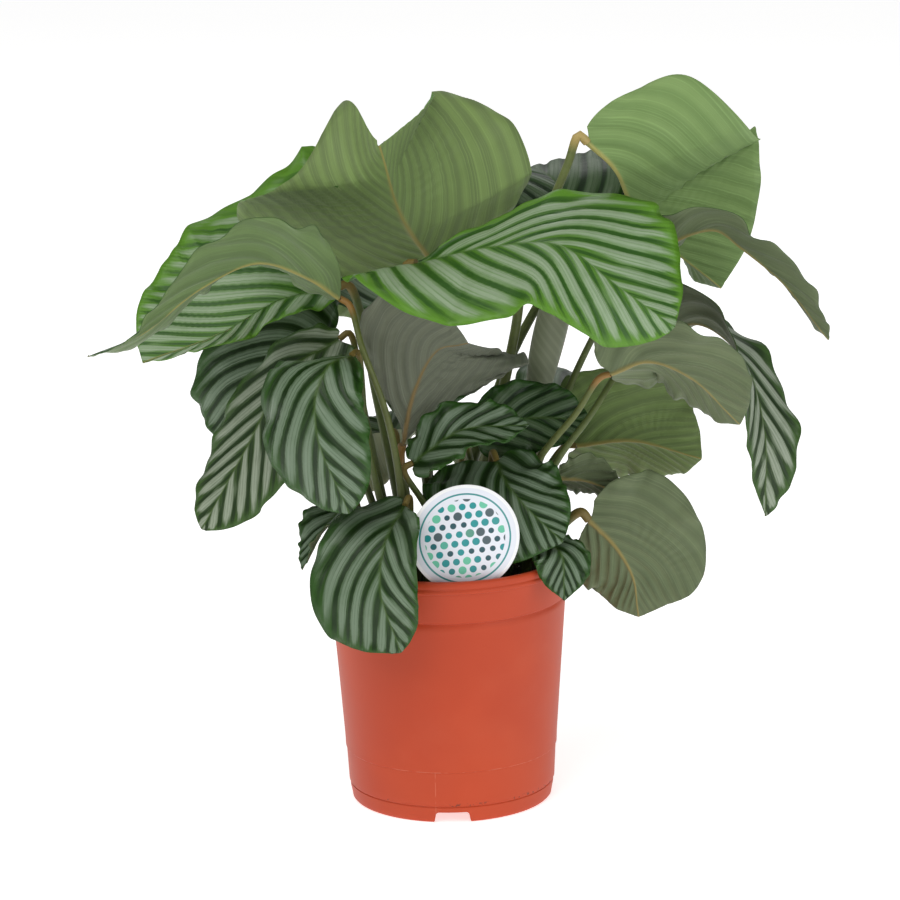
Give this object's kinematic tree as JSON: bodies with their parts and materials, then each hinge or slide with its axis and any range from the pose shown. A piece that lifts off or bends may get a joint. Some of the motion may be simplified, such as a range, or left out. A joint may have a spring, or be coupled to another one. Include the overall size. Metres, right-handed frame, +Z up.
{
  "type": "potted plant",
  "caption": "Potted calathea: broad striped leaves on slim stems in soil, in a tapered terracotta-orange nursery pot with a round plant label at the front.",
  "frame": {"origin": "centre of the pot's foot, on the surface it rests on", "axes": "+Z up along the pot axis, -Y towards the viewer and the label, +X to the right of the label"},
  "size_m": [0.5482, 0.3508, 0.5476],
  "materials": {
    "pot_plastic": "satin moulded terracotta-orange plastic",
    "potting_soil": "crumbly dark potting mix",
    "label_card": "smooth white plastic card",
    "leaf_bright": "satin leaf, upper side in good light",
    "leaf_dark": "satin dark leaf, upper side",
    "leaf_underside": "matt grey-green underside",
    "leaf_pale": "matt light green underside",
    "stem_green": "satin olive stem",
    "stem_bronze": "satin orange-brown stem",
    "young_growth": "satin pale green young growth"
  },
  "bodies": {
    "root": {"pot": "pot_plastic", "soil": "potting_soil", "label": "label_card", "young_leaf": "young_growth", "leaf_top": "leaf_underside", "stem_top": "stem_bronze", "leaf_back_left": "leaf_bright", "stem_back_left": "stem_green", "leaf_left": "leaf_pale", "stem_left": "stem_bronze", "leaf_front": "leaf_bright", "stem_front": "stem_green", "leaf_centre": "leaf_underside", "stem_centre": "stem_bronze", "leaf_inner_left": "leaf_dark", "stem_inner_left": "stem_green", "leaf_outer_left": "leaf_dark", "stem_outer_left": "stem_green", "leaf_far_left": "leaf_dark", "stem_far_left": "stem_green", "leaf_rim_front": "leaf_dark", "stem_rim_front": "stem_green", "leaf_rim_left": "leaf_dark", "stem_rim_left": "stem_green", "leaf_label": "leaf_dark", "stem_label": "stem_green", "leaf_rim_right": "leaf_dark", "stem_rim_right": "stem_green", "leaf_heart_low": "leaf_dark", "stem_heart_low": "stem_green", "leaf_heart": "leaf_dark", "stem_heart": "stem_green", "leaf_top_right": "leaf_pale", "stem_top_right": "young_growth", "leaf_right_arch": "leaf_underside", "stem_right_arch": "stem_green", "leaf_right_hanging": "leaf_dark", "stem_right_hanging": "stem_green", "leaf_right": "leaf_underside", "stem_right": "stem_bronze", "leaf_right_back": "leaf_underside", "stem_right_back": "stem_green", "leaf_right_low": "leaf_underside", "stem_right_low": "stem_green", "leaf_right_small": "leaf_underside", "stem_right_small": "stem_green", "leaf_back_top": "leaf_dark", "stem_back_top": "stem_green", "leaf_back": "leaf_dark", "stem_back": "stem_green", "leaf_back_right": "leaf_dark", "stem_back_right": "stem_green", "leaf_back_low": "leaf_dark", "stem_back_low": "stem_green", "leaf_back_mid": "leaf_dark", "stem_back_mid": "stem_green"}
  },
  "joints": []
}
